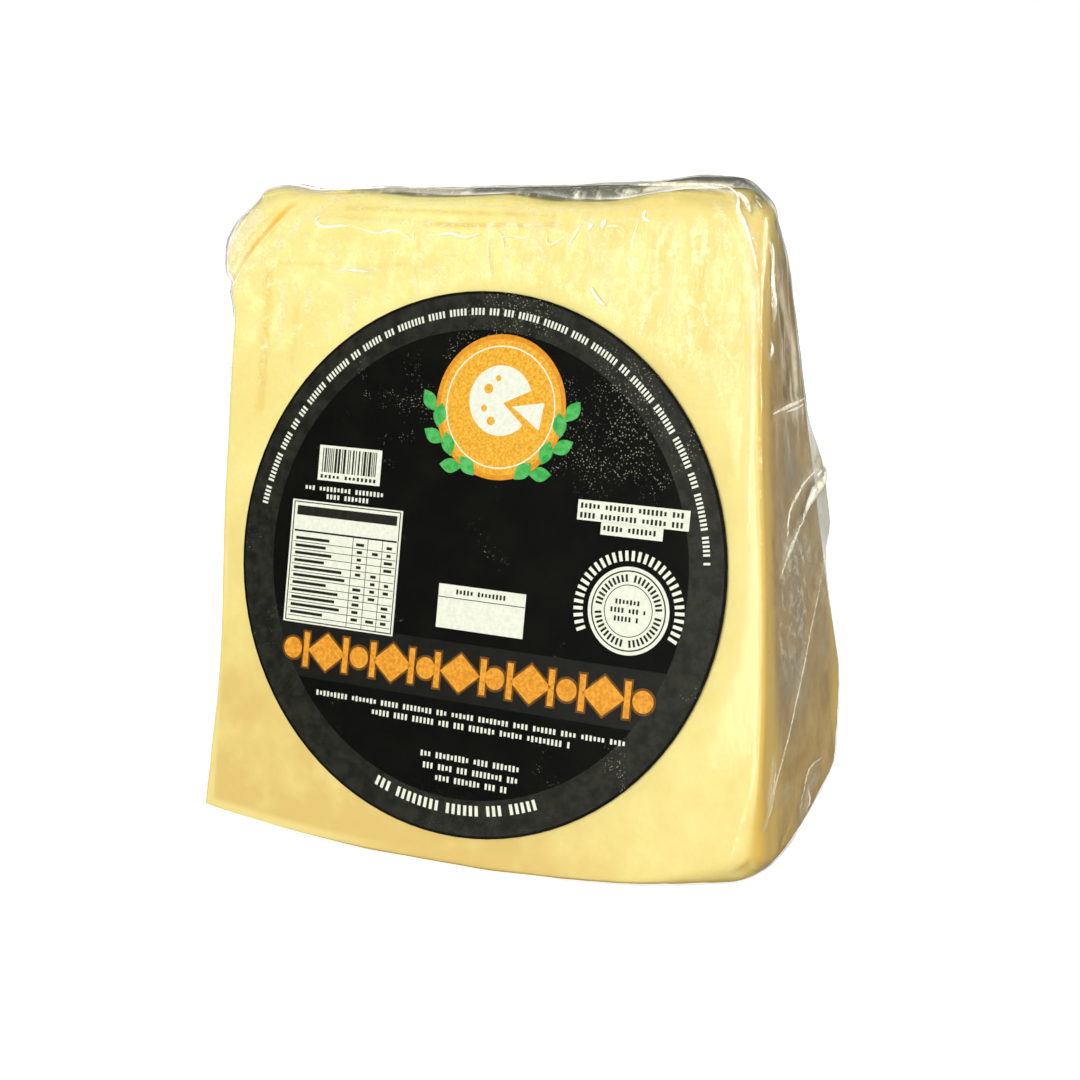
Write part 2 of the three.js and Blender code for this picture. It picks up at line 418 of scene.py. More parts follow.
# Rubbed rind: darker olive-brown blotches 6 mm across over buff
blotched = mapped(paste, clouds(paste, point, 6, 7, 0.7), 0.36, 0.64)
buff = mix_colours(paste, blotched, "#B08B42", "#CEAD6A")
colour = mix_colours(paste, painted(paste, "rind"), colour, buff)
relief = add_node(paste, 'ShaderNodeBump', {'Height': grain, 'Distance': 0.06 * MM, 'Strength': 0.6})
surface = add_node(paste, 'ShaderNodeBsdfPrincipled', {
    'Base Color': colour, 'Roughness': 0.55, 'IOR': 1.45, 'Normal': relief.outputs[0],
    'Subsurface Weight': 0.25, 'Subsurface Radius': (1, 0.55, 0.2), 'Subsurface Scale': 3 * MM})
add_node(paste, 'ShaderNodeOutputMaterial', {'Surface': surface.outputs[0]})
cheese.data.materials.append(paste)
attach(cheese, "root")
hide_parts("wrapped_cheese")


# The film: clear stretch film, wound tight round the wedge and over its label, gathered over the
# tip and tucked at the back right edge. Its creases are pulled in lines across each face.
FILM_CRESTS = [(-46, 9, 1.6), (-28, 16, 0.4), (41, 12, 1.0)]  # middle along X, half length, height
TUCK_FOOT, TUCK_HEAD, TUCK_BULGE, TUCK_REACH = (53, 62), (70, 84), 2.1, 9
LIP_OF_FILM = 4.2
LABEL_RADIUS, LABEL_X, LABEL_DROP = 50, 0.9, 68.8  # the drop is down the cut face from the tip
FILM_OVER_LABEL = 0.76
LABEL_SHOULDER = 15  # how far round the label the film slopes down to the cheese
DEEPEST = -0.14  # where the film touches the cheese
PAINTED_FOLD_SHADE = -1

# Folds in the film: the face it is on, its line, half width, height, how milky it looks and how
# white the milk is, from 0 for grey to 1. White milk on a fold is partly its own haze and partly a
# painted highlight where a glint falls, and grey milk is painted shade. A whiteness below 0 marks a
# line of painted shade, deeper yellow, where a fold shades the cheese.
# Places are across and up each face: X and Z in front, Y and Z at the sides, X and Y on top.
FOLDS = [
    # Long creases under the tip
    ("front", [(-36, 119.5), (-26.4, 119.2), (-18.2, 118.5), (-11.8, 117.8), (7, 117.3),
               (15.3, 117.2)], 0.9, 0.22, 0.16, 1),
    ("front", [(-12, 118.1), (-0.7, 117.9), (7.1, 117.8), (15.3, 117.7)], 0.6, -0.1, 0.6, PAINTED_FOLD_SHADE),
    ("front", [(-30, 119.9), (-18.2, 119.2), (-8, 118.6)], 0.5, -0.1, 0.15, PAINTED_FOLD_SHADE),
    ("front", [(-30, 121.4), (-16, 120.9), (-2, 120.0), (14, 119.4)], 0.7, -0.1, 0.3, PAINTED_FOLD_SHADE),
    ("front", [(-20, 121.9), (-2, 121.4), (12, 120.4), (30, 120.4)], 0.7, 0.1, 0.2, 1),
    ("front", [(-46.1, 111.3), (-37.5, 111.1), (-23.3, 110.8), (-16, 110.8)],
     0.7, -0.1, 0.16, PAINTED_FOLD_SHADE),
    ("front", [(-32, 109.9), (-26.5, 109.9), (-23, 109.5)], 0.8, 0.15, 0.45, 1),
    ("front", [(-45, 114.5), (-44, 114.3)], 0.7, 0.1, 0.5, 1),
    ("front", [(-31.9, 113.4), (-31.2, 112.3)], 0.6, 0.1, 0.45, 1),
    ("front", [(-33.6, 122.4), (-30, 123.2), (-27.8, 123.7)], 0.8, 0.1, 0.3, 1),
    # Upright ones over the dent and the middle
    ("front", [(-12.2, 116.5), (-12.1, 111.9), (-12.9, 106.5), (-13.1, 103)], 0.9, 0.18, 0.2, 1),
    ("front", [(-13.6, 116.5), (-13.5, 111.9), (-14.3, 106.5), (-14.5, 103)],
     0.7, -0.1, 0.14, PAINTED_FOLD_SHADE),
    ("front", [(-46.7, 110), (-46.6, 104), (-46.8, 98.7), (-47.2, 84)], 1.7, -0.1, 0.3, PAINTED_FOLD_SHADE),
    ("front", [(-39.6, 107), (-39.8, 100), (-40.4, 92)], 1.2, -0.1, 0.16, PAINTED_FOLD_SHADE),
    ("front", [(-42.9, 107), (-42.9, 103.4), (-43.4, 98)], 1.3, 0.1, 0.34, 1),
    ("front", [(5.4, 114), (5.2, 110)], 0.6, 0.1, 0.3, 1),
    ("front", [(9.0, 115), (9.8, 109)], 0.6, 0.1, 0.2, 1),
    ("front", [(1.2, 116), (1.8, 112), (2.4, 108.7)], 0.9, 0.16, 0.15, 1),
    ("front", [(35.4, 120), (35.7, 114.7), (34.2, 108), (33.4, 100)], 2.0, -0.1, 0.16, PAINTED_FOLD_SHADE),
    ("front", [(42.6, 115), (42.4, 108), (42.8, 98)], 3.4, -0.1, 0.2, PAINTED_FOLD_SHADE),
    ("front", [(36, 121.2), (42, 121.6), (46, 121)], 2.6, -0.1, 0.1, PAINTED_FOLD_SHADE),
    ("front", [(-8.7, 109.5), (-9.6, 104), (-10.6, 98)], 2.4, 0.1, 0.2, 1),
    ("front", [(-26.9, 104.8), (-27.6, 100)], 2.4, 0.1, 0.25, 1),
    ("front", [(-37.0, 106.8), (-37.2, 101.8)], 1.0, 0.1, 0.3, 1),
    ("front", [(20.6, 118.6), (24.6, 111), (26.2, 104)], 2.6, 0.1, 0.2, 1),
    ("front", [(10.4, 117.6), (12.4, 112)], 2.0, 0.1, 0.2, 1),
    ("front", [(37.4, 118), (37.8, 110), (37.2, 100)], 1.2, 0.1, 0.16, 1),
    # Round the upper right corner
    ("front", [(31.8, 123.6), (38.6, 123.9), (45.4, 123.6), (48, 122.0), (49.2, 119.4),
               (50.9, 115.5), (52.3, 111.9)], 0.9, 0.3, 0.3, 1),
    ("front", [(50.8, 116.2), (51.8, 112.2), (52.6, 107.5), (52.9, 100.1)], 1.5, 0.2, 0.4, 1),
    ("front", [(52.9, 101), (53.2, 92), (53.6, 80), (54, 70)], 1.2, 0.15, 0.22, 1),
    ("front", [(45.6, 121), (47.0, 114)], 0.7, 0.1, 0.25, 1),
    # Lip at the upper left corner
    ("front", [(-50.4, 119.9), (-54.2, 115.8), (-55.4, 110)], 4.6, 0.1, 0.42, 1),
    ("front", [(-31.8, 123.4), (-39.7, 119.1), (-46.8, 113.2), (-51.6, 110.0), (-53.9, 106.3)],
     1.6, 0.15, 0.22, 1),
    # The tuck's streaks, and the long pull from its foot to the front bottom corner
    ("right", [(22.6, 73.2), (18, 70.8)], 1.7, 0.4, 0.95, 1),
    ("right", [(19, 71.4), (5.0, 63.7)], 0.9, 0.4, 0.8, 1),
    ("right", [(14, 70), (1, 64.5)], 3.2, 0.1, 0.3, 0.25),
    ("right", [(13.9, 72.2), (3.2, 68.7), (-1.8, 66.2), (-3.8, 62.3)], 0.9, 0.35, 0.35, 0.7),
    ("right", [(5.2, 63.8), (-2.1, 60.7), (-8.6, 57.3)], 0.9, 0.3, 0.35, 0.8),
    ("right", [(21.2, 56.2), (11, 47.4), (-0.5, 36.8), (-10, 27.6), (-17.4, 21.6),
               (-23.7, 16.3)], 1.4, 0.25, 0.3, 0.6),
    ("right", [(-18, 26), (-20.6, 19.5)], 2.2, 0.2, 0.35, 1),
    ("right", [(-5.7, 85), (2.6, 85), (11.2, 85.2)], 0.9, 0.3, 0.3, 0.8),
    ("right", [(1.2, 84.0), (11.1, 83.8)], 0.8, 0.2, 0.25, 0.7),
    # Grey off the back edge, and facets along the upper half
    ("right", [(3, 117), (6, 111.8), (8, 106), (10, 98.7), (12, 90.7), (13.3, 85)],
     2.6, 0.1, 0.6, 0.2),
    ("right", [(1.6, 106.3), (1.4, 101.4), (2.1, 97.5), (3.2, 92.8), (2, 88)], 1.5, -0.5, 0.1, 0),
    ("right", [(0.6, 109), (4.6, 100.9), (7.4, 94.6), (7.4, 88.2)], 1.5, 0.35, 0.3, 0.8),
    ("right", [(-1.2, 113.4), (-1.6, 109), (-1.8, 105), (-2.2, 101)], 0.9, 0.4, 0.6, 1),
    ("right", [(-0.5, 104.9), (-2.7, 103.0), (-1.1, 101.6)], 0.9, 0.35, 0.5, 1),
    ("right", [(-4.3, 97.0), (-3.5, 95.7), (-5.3, 94.9)], 1.0, 0.3, 0.6, 1),
    # The tip's top: painted highlights where light catches the gathers
    ("top", [(-50, -3), (-44, -2), (-35, -2)], 4.0, 0.1, 0.5, 1),
    ("top", [(-26, -2.6), (-19, -1.6), (-12, -2.4), (-4, -3)], 0.9, 0.15, 0.4, 0.5),
    ("top", [(-24, 1.5), (-8, 2.6), (10, 1.2), (30, 2.8)], 0.9, 0.2, 0.4, 0.7),
    ("top", [(4, -1.2), (16, 0.4), (28, -0.8), (44, 0.6)], 0.9, 0.2, 0.35, 0.7),
    ("top", [(-48, 2.4), (-34, 3.4), (-16, 4.6)], 0.9, 0.15, 0.35, 0.9),
    # Lens and dark folds at the foot
    ("right", [(9.2, 18.1), (2, 18.1), (-2, 15.2), (-4.7, 11.5)], 0.9, 0.4, 0.3, 0.6),
    ("right", [(6.5, 15.5), (1.8, 14.5), (-2.5, 11.5)], 3.0, -0.1, 0.4, 0.6),
    ("right", [(1.3, 14.1), (2.1, 11.9), (0.1, 11.1)], 0.9, 0.2, 0.5, 1),
    ("right", [(-9.6, 11.4), (-14.5, 10.0)], 1.1, -0.1, 0.5, PAINTED_FOLD_SHADE),
    ("right", [(-9, 18.6), (-16.9, 18.6), (-20.8, 18.2)], 1.2, 0.2, 0.15, 0.8),
    # The two hidden faces are pulled the same way
    ("back", [(-30, 104), (-12, 92), (14, 88), (38, 96)], 1.6, 0.25, 0.3, 1),
    ("back", [(50, 58), (24, 44), (-8, 38), (-44, 18)], 1.8, 0.3, 0.4, 1),
    ("back", [(50, 66), (34, 64), (12, 70), (-10, 68)], 2.2, 0.25, 0.3, 1),
    ("back", [(52, 74), (40, 80), (30, 92), (26, 106)], 2.4, 0.2, 0.3, 1),
    ("back", [(-48, 84), (-30, 80), (-6, 64)], 1.8, 0.25, 0.25, 1),
    ("back", [(-34, 119), (-18, 117.5), (4, 118), (22, 116.5), (40, 118)], 1.6, 0.2, 0.35, 1),
    ("back", [(-52, 40), (-40, 52), (-36, 70), (-38, 96)], 2.0, 0.2, 0.25, 1),
    ("back", [(46, 14), (20, 12), (-14, 9), (-40, 12)], 2.4, 0.2, 0.3, 1),
    ("left", [(4, 104), (0, 86), (6, 66)], 1.6, 0.25, 0.3, 0.7),
    ("left", [(20, 22), (6, 42), (-14, 62)], 1.8, 0.3, 0.35, 0.7),
    ("left", [(-16, 18), (0, 30), (16, 34)], 1.8, 0.25, 0.3, 0.7),
    ("left", [(-10, 92), (-4, 78), (-8, 66)], 1.4, 0.2, 0.35, 0.8),
]


def film_top(x):
    return TIP_HEIGHT + sum(h * hump((x - middle) / half) for middle, half, h in FILM_CRESTS)


def from_line(points, line):
    """How far each point of a flat set is from a line of straight stretches."""
    nearest = np.full(len(points), 1e9)
    for a, b in zip(np.array(line[:-1], float), np.array(line[1:], float)):
        along = np.clip((points - a) @ (b - a) / max((b - a) @ (b - a), 1e-9), 0, 1)
        nearest = np.minimum(nearest, np.linalg.norm(points - a - along[:, None] * (b - a), axis=1))
    return nearest


film = block("film", ((10, 19), (6, 10), (10, 15)))
grid = near_edges(places_of(film), 0.3)
grid[:, 2] += 0.25 * (1 - grid[:, 2] ** 2)  # closer rows towards the tip
places = wedge(grid, film_top, LIP_OF_FILM)[0]
z = places[:, 2]
edge = np.stack([right_at(z / TIP_HEIGHT), back_at(z), z], axis=1)
tuck = (smooth(z, *TUCK_FOOT) * (1 - smooth(z, *TUCK_HEAD))
        * hump(np.linalg.norm(places - edge, axis=1) / TUCK_REACH))
places[:, :2] += (TUCK_BULGE * tuck / math.sqrt(2))[:, None]
move_to(film, places)
normals = normals_of(film)
x, y, z = places.T

# Off the cheese over the label, with a long soft shoulder round it
towards_front = smooth(-normals[:, 1], 0.5, 0.95)
lean = math.atan(FRONT_SLOPE)
up_the_face = (z - (TIP_HEIGHT - LABEL_DROP * math.cos(lean))) / math.cos(lean)
from_label = np.hypot(x - LABEL_X, up_the_face)
over_label = 1 - smooth(from_label, LABEL_RADIUS + 0.8, LABEL_RADIUS + LABEL_SHOULDER)
relief = FILM_OVER_LABEL * over_label * towards_front

# Where the faces look, and the two coordinates that a fold on each is drawn in
beside_label = smooth(from_label, LABEL_RADIUS, LABEL_RADIUS + 1.5)
faces = {
    "front": (towards_front * beside_label, places[:, [0, 2]]),
    "back": (smooth(normals[:, 1], 0.5, 0.95), places[:, [0, 2]]),
    "left": (smooth(-normals[:, 0], 0.2, 0.5), places[:, [1, 2]]),
    "right": (smooth(normals[:, 0], 0.2, 0.5), places[:, [1, 2]]),
    "top": (smooth(normals[:, 2], 0.5, 0.8), places[:, [0, 1]]),
}
back, left, right, top = (faces[name][0] for name in ("back", "left", "right", "top"))
slack = np.array([noise.fractal(Vector(p) / 9, 0.9, 2.2, 3) for p in places])
loose = np.clip(right + left + 0.6 * back + top, 0, 1)
relief += 0.22 * slack * loose - 0.1 * loose

# Milky where it is gathered over the tip, behind the tip, off the upper left edge, over the right
# side and on the tuck. The milk is grey in the gathers, painted shade and a painted reflection of
# the darker room, and whiter on the side.
off_tip = np.maximum(top, smooth(z, cheese_top(x) - 0.2, cheese_top(x) + 0.4))
gathered = 0.95 * off_tip * (0.06 + 0.94 * smooth(x, -40, -16)) * (0.85 + 0.2 * slack)
behind_tip = smooth(normals[:, 1], 0.1, 0.5) * smooth(normals[:, 2], 0.2, 0.5)
left_edge = smooth(-normals[:, 0], 0.7, 0.85) * smooth(-normals[:, 1], 0.12, 0.3)
left_edge *= smooth(z, 90, 104)
below_tuck = smooth(y, 0, 6) * (1 - smooth(z, 50, 62))
clouded = right * smooth(y - front_at(z), 4.5, 11) * (1 - 0.45 * below_tuck)
clouded = clouded * smooth(z, 22, 40) * (0.36 + 0.22 * slack)
haze = np.maximum.reduce([gathered, 0.6 * behind_tip, 0.6 * left_edge, clouded])
milky = np.maximum(haze, 0.6 * tuck ** 0.4)
white = 0.03 + 0.14 * smooth(tuck, 0.05, 0.3) + 0.3 * smooth(clouded, 0, 0.2)
white += (1 - white) * towards_front * (1 - smooth(haze, 0, 0.1))
amber = np.zeros(len(white))

for face, line, half_width, height, milk, whiteness in FOLDS:
    facing, flat = faces[face]
    distance = from_line(flat, line)
    stroke = hump(distance / half_width) * facing
    relief += height * stroke
    milky = np.maximum(milky, milk * stroke)
    cover = np.clip(2.5 * hump(distance / (1.5 * half_width)) * facing, 0, 1)
    if whiteness == PAINTED_FOLD_SHADE:
        amber = np.maximum(amber, cover)
    else:
        white += (whiteness - white) * cover
        amber *= 1 - cover
places += normals * np.maximum(relief, DEEPEST)[:, None]
paint(film, "milky", np.clip(milky, 0, 1))
paint(film, "white", white)
paint(film, "amber", amber)
# Pulled into fine upright wrinkles at the upper right of the front and up the other faces, and
# scuffed under the tip, below the tuck and here and there behind. The wrinkles' crests and the
# scuffs are whitened in the material as painted highlights.
off_label = smooth(from_label, LABEL_RADIUS, LABEL_RADIUS + 3)
stretched = smooth(z, 88, 104) * (1 - 0.8 * smooth(z, 116, 119)) * smooth(x, -34, 2) * towards_front
stretched = np.maximum(stretched, 0.5 * right * smooth(z, 60, 100))
stretched = np.maximum(stretched, (0.6 * back + 0.4 * left) * smooth(z, 60, 100))
paint(film, "stretched", stretched * off_label)
scuffed = smooth(z, 80, 104) * (1 - 0.7 * smooth(z, 118, 120)) * towards_front
crinkled = right * smooth(z, 36, 46) * (1 - smooth(z, 58, 66))
scuffed = np.maximum(scuffed, 0.24 * crinkled * (1 - smooth(tuck, 0, 0.1)))
scuffed = np.maximum(scuffed, (0.4 * back + 0.2 * left) * smooth(slack, 0, 0.3))
paint(film, "scuffed", scuffed * off_label)
paint(film, "loose", 0.35 - 0.3 * over_label * towards_front)
move_to(film, places * MM)
bpy.ops.object.shade_smooth()

# Stretched PVC film, cast: clear and glossy, with fine pulled wrinkles, and milky where layers
# gather. Light that leaves through it from inside isn't turned back.
cling, point = new_material("cast_stretch_film")
# Wrinkles 1.8 mm apart that run up the face
pulled = add_node(cling, 'ShaderNodeMapping', {
    'Vector': point, 'Rotation': (0, math.radians(8), 0),
    'Scale': (1 / (1.8 * MM), 1 / (1.8 * MM), 1 / (12 * MM))})
wrinkles = add_node(cling, 'ShaderNodeTexNoise', {
    'Vector': pulled.outputs[0], 'Scale': 1, 'Detail': 4, 'Roughness': 0.6}).outputs['Fac']
stretched = painted(cling, "stretched")
pull = calculate(cling, 'MULTIPLY', wrinkles, stretched)
# Faint dimples where it clings and lets go, 5 mm across
dimples = clouds(cling, point, 5, 5, 0.6)
height = calculate(cling, 'MULTIPLY_ADD', dimples, painted(cling, "loose"), pull)
relief = add_node(cling, 'ShaderNodeBump', {'Height': height, 'Distance': 0.5 * MM})
inside = add_node(cling, 'ShaderNodeNewGeometry').outputs['Backfacing']
fresnel = add_node(cling, 'ShaderNodeFresnel', {'IOR': 1.4}).outputs[0]
shine = calculate(cling, 'MULTIPLY', fresnel, calculate(cling, 'SUBTRACT', 1, inside))
clear = add_node(cling, 'ShaderNodeBsdfTransparent', {'Color': linear("#FDFEFB")})
gloss = add_node(cling, 'ShaderNodeBsdfGlossy', {'Roughness': 0.09, 'Normal': relief.outputs[0]})
sheet = add_node(cling, 'ShaderNodeMixShader', {0: shine, 1: clear.outputs[0], 2: gloss.outputs[0]})
# Painted highlights: white on the crests of the wrinkles, and in scuffs 2.4 mm across that are
# partly real scuffing and partly painted glints
crests = mapped(cling, wrinkles, 0.5, 0.72, 0, 0.3)
crest_glint = calculate(cling, 'MULTIPLY', crests, stretched)
flecks = clouds(cling, point, 2.4, 4, 0.62, 0.6)
scuffs = mapped(cling, flecks, 0.5, 0.7, 0, 0.3)
scuffs_and_glints = calculate(cling, 'MULTIPLY_ADD', scuffs, painted(cling, "scuffed"), crest_glint)
# Scuffs pass the light on to the cheese, and cast no shadow on it.
in_shadow = add_node(cling, 'ShaderNodeLightPath').outputs['Is Shadow Ray']
scuffs_and_glints = calculate(cling, 'MULTIPLY', scuffs_and_glints, calculate(cling, 'SUBTRACT', 1, in_shadow))
# Breaks in the milk of every fold. Scuffs, with their painted glints, are white, also where a fold
# is grey or amber with painted shade.
broken = mapped(cling, flecks, 0.35, 0.55, 0.85, 1.05)
milky = calculate(cling, 'MULTIPLY_ADD', painted(cling, "milky"), broken, scuffs_and_glints,
                  use_clamp=True)
whiter = calculate(cling, 'MULTIPLY_ADD', scuffs_and_glints, 10, painted(cling, "white"), use_clamp=True)
# Painted light in the milk: its grey is painted shade, its cream a painted highlight, and the fold
# lines' deeper yellow painted shade
painted_fold_shade = calculate(cling, 'MULTIPLY_ADD', scuffs_and_glints, -8, painted(cling, "amber"))
milk = mix_colours(cling, whiter, "#63635B", "#FFFCE2")
milk = mix_colours(cling, painted_fold_shade, milk, "#F5DC76")
bloom = add_node(cling, 'ShaderNodeBsdfPrincipled', {'Base Color': milk, 'Roughness': 0.35})
surface = add_node(cling, 'ShaderNodeMixShader', {
    0: milky, 1: sheet.outputs[0], 2: bloom.outputs[0]})
add_node(cling, 'ShaderNodeOutputMaterial', {'Surface': surface.outputs[0]})
film.data.materials.append(cling)
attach(film, "root")
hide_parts("wrapped_cheese")


# Pleats: where the film is pinched into a thin double ridge, white along its length and thinning out
# to nothing at its ends, a painted glint for the light that the ridge catches. Each lies pressed
# flat against the film.
PLEATS = [  # face, line, and half width at its widest
    # The loop and squiggle at the upper left, and the glint below them
    ("front", [(-35.2, 120.0), (-36.2, 119.4), (-35.8, 118.5), (-34.2, 118.0), (-31.6, 118.1),
               (-29, 118.1)], 0.24),
    ("front", [(-29, 118.1), (-25, 117.2), (-22.4, 116.6), (-20.2, 117.1), (-18, 116.9),
               (-15.9, 115.8), (-14.8, 115.4), (-14.6, 116.6)], 0.17),
    ("front", [(-12.1, 116.3), (-9.6, 116.2), (-6.7, 116.4), (-3.8, 115.8), (-0.5, 116.3)], 0.17),
    ("front", [(-30.3, 110), (-27, 109.9), (-23.8, 109.6)], 0.26),
    # Fans under the tip's right half
    ("front", [(3.9, 115.7), (6.0, 115.8), (8.4, 115.5), (9.7, 115.8)], 0.18),
    ("front", [(12.9, 115.8), (13.4, 114.4), (15.4, 115.0), (16.6, 115.6)], 0.13),
    ("front", [(19.6, 117.8), (18.4, 116), (17.2, 113.9)], 0.18),
    ("front", [(21.8, 117.8), (21.4, 117.3), (20.9, 116.7)], 0.26),
    ("front", [(24.3, 118.6), (23.9, 117.8), (23.6, 116.9)], 0.26),
    ("front", [(24.2, 117.2), (26, 117.4), (27.7, 116.8)], 0.13),
    ("front", [(30.8, 119), (30.1, 116.5), (29.6, 114.4), (29.9, 113.0)], 0.13),
    ("front", [(31.8, 120), (31.5, 118.8), (32.7, 118.0)], 0.26),
    ("front", [(29, 112.0), (29.9, 110.4), (31.1, 109.7)], 0.16),
    ("front", [(22.4, 106.9), (23.5, 105.3), (25.2, 103.8)], 0.26),
    ("front", [(1.2, 115.3), (1.6, 112), (2.4, 108.7)], 0.12),
    ("front", [(3.4, 116.6), (4.2, 115), (4.6, 113.4)], 0.15),
    # The crest's bright line, down round the upper right corner
    ("front", [(27.8, 124.3), (33.1, 124.4), (36.3, 124.2), (40.2, 124.3), (44.2, 124.1),
               (46.6, 123.5), (48.0, 122.2)], 0.4),
    ("front", [(46.6, 123.5), (48.0, 122.2), (48.9, 119.6), (50.2, 117.3), (51.6, 113.6),
               (52.8, 109.6)], 0.3),
    ("front", [(48.0, 122.7), (49.2, 121.3), (50.6, 119.2)], 0.36),
    ("front", [(53.0, 121.2), (52.5, 120.6), (52.0, 119.9)], 0.16),
    # The tuck's streaks, the long pull, and glints along the upper half of the side
    ("right", [(23, 73.8), (21.4, 72.6), (19, 71.3), (12, 67.6), (5.2, 63.8)], 0.9),
    ("right", [(22.4, 73.6), (18, 72.6), (13.6, 70.6)], 0.5),
    ("right", [(5.2, 63.8), (-2.1, 60.7), (-8.6, 57.3)], 0.26),
    ("right", [(13.9, 72.2), (3.2, 68.7), (-1.8, 66.2), (-3.8, 62.3)], 0.22),
    ("right", [(20.6, 55.9), (11, 47.4), (-0.5, 36.8), (-10, 27.6), (-17.4, 21.6),
               (-23.3, 16.3)], 0.2),
    ("right", [(-5.7, 85), (2.6, 85.1), (11.2, 85.2)], 0.2),
    ("right", [(1.2, 84.3), (6, 84.1), (11.1, 84.2)], 0.14),
    ("right", [(-1.2, 113), (-1.3, 110.4), (-1.9, 106.6), (-1.8, 103)], 0.36),
    ("right", [(-0.2, 108.6), (-0.9, 106), (-1.0, 103.6)], 0.16),
    ("right", [(-4.3, 97.0), (-3.9, 96), (-5.0, 94.9)], 0.35),
    ("right", [(1.3, 14.1), (2.1, 12.4), (0.6, 11.1)], 0.3),
    ("right", [(9.2, 18.1), (2, 18.1), (-2, 15.2), (-4.7, 11.5)], 0.12),
    ("right", [(-15.9, 25), (-17.6, 22.6), (-19.4, 20.8)], 0.14),
    # The long pulls and gathers behind and at the left
    ("back", [(50, 58), (24, 44), (-8, 38), (-44, 18)], 0.3),
    ("back", [(-30, 104), (-12, 92), (14, 88), (38, 96)], 0.22),
    ("back", [(50, 66), (34, 64), (12, 70)], 0.24),
    ("back", [(52, 74), (40, 80), (30, 92)], 0.22),
    ("back", [(-34, 118.6), (-28, 117.2), (-21, 118), (-14, 116.4)], 0.18),
    ("back", [(4, 116.8), (12, 115.2), (19, 116.4), (25, 114.8)], 0.18),
    ("back", [(-44, 108), (-43.2, 103), (-44.4, 98)], 0.18),
    ("left", [(20, 22), (6, 42), (-14, 62)], 0.26),
]
PLEAT_FLATNESS = 0.14  # how far a pleat stands off the film, as a share of its half width
# Where each face is looked at from, and the two axes that its lines are drawn in
LOOK_FROM = {"front": (Vector((0, -1, 0)), (0, 2)), "back": (Vector((0, 1, 0)), (0, 2)),
             "left": (Vector((-1, 0, 0)), (1, 2)), "right": (Vector((1, 0, 0)), (1, 2))}
film_surface = BVHTree.FromObject(film, bpy.context.evaluated_depsgraph_get())
draw = random.Random(11)


def on_film(face, place):
    """The point of the film's surface straight over a place on one of its faces, or the nearest
    such point where a line runs out past the face's edge."""
    outwards, (first, second) = LOOK_FROM[face]
    across, up = place
    hit = None
    while hit is None:
        start = outwards * 200 * MM
        start[first], start[second] = across * MM, up * MM
        hit = film_surface.ray_cast(start, -outwards)[0]
        across *= 0.98
    return hit


def pleat(face, line, half_width):
    """One ridge, as a round rod along its line that varies in thickness and thins at its ends."""
    bpy.ops.curve.primitive_bezier_curve_add()
    ridge = bpy.context.object
    spline = ridge.data.splines[0]
    spline.bezier_points.add(len(line) - 2)
    for i, (place, knot) in enumerate(zip(line, spline.bezier_points)):
        knot.co = on_film(face, place)
        knot.handle_left_type = knot.handle_right_type = 'AUTO'
        knot.radius = 0.1 + draw.uniform(0.7, 2.1) * math.sin(math.pi * (i + 0.5) / len(line))
    ridge.data.resolution_u = 6
    ridge.data.bevel_depth = half_width * MM
    ridge.data.bevel_resolution = 1
    ridge.data.use_fill_caps = True
    return ridge


def join(name, parts):
    """Makes one mesh of several pieces, with its doubles merged and its faces outwards."""
    bpy.ops.object.select_all(action='DESELECT')
    for part in parts:
        part.select_set(True)
    bpy.context.view_layer.objects.active = parts[0]
    bpy.ops.object.convert(target='MESH')
    bpy.ops.object.join()
    whole = bpy.context.object
    whole.name = whole.data.name = name
    bpy.ops.object.transform_apply()
    bpy.ops.object.mode_set(mode='EDIT')
    bpy.ops.mesh.select_all(action='SELECT')
    bpy.ops.mesh.remove_doubles(threshold=0.002 * MM)
    bpy.ops.mesh.normals_make_consistent(inside=False)
    bpy.ops.object.mode_set(mode='OBJECT')
    return whole


pleats = join("film_pleat_glints", [pleat(*each) for each in PLEATS])
for vertex in pleats.data.vertices:
    under = film_surface.find_nearest(vertex.co)[0]
    vertex.co = under + (vertex.co - under) * PLEAT_FLATNESS
bpy.ops.object.shade_smooth()

# The same film doubled over: a bright milky white, broken along its length, that lets some of the
# cheese through. It glows faintly, a painted glint.
doubled, point = new_material("doubled_film_painted_glint")
# Breaks in the ridge about 1.6 mm apart
solid = mapped(doubled, clouds(doubled, point, 1.6, 3, 0.5), 0.36, 0.54, 0.45, 0.95)
# The long pull down the right side is drawn thinner, and shows more of the rind.
thinner = mapped(doubled, painted(doubled, "faint"), 0, 1, 1, 0.55)
solid = calculate(doubled, 'MULTIPLY', solid, thinner)
clear = add_node(doubled, 'ShaderNodeBsdfTransparent')
white = add_node(doubled, 'ShaderNodeBsdfPrincipled', {
    'Base Color': linear("#FFFDEB"), 'Roughness': 0.3, 'IOR': 1.5,
    'Emission Color': linear("#FFF8DC"), 'Emission Strength': 0.16})
surface = add_node(doubled, 'ShaderNodeMixShader', {
    0: solid, 1: clear.outputs[0], 2: white.outputs[0]})
add_node(doubled, 'ShaderNodeOutputMaterial', {'Surface': surface.outputs[0]})
pleats.data.materials.append(doubled)
places = places_of(pleats) / MM
paint(pleats, "faint", smooth(places[:, 0], 53, 56) * (1 - smooth(places[:, 2], 58, 64)))
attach(pleats, "root")


# The label: a round of coated black paper, flat on the cut face under the film.
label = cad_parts["label"]
coated, point = new_material("coated_label_paper_black")
# Where the film lets go of the print it greys a little, in patches 7 mm across
greyed = mapped(coated, clouds(coated, point, 7, 4, 0.6), 0.4, 0.7)
black = mix_colours(coated, greyed, "#030402", "#0B0C07")
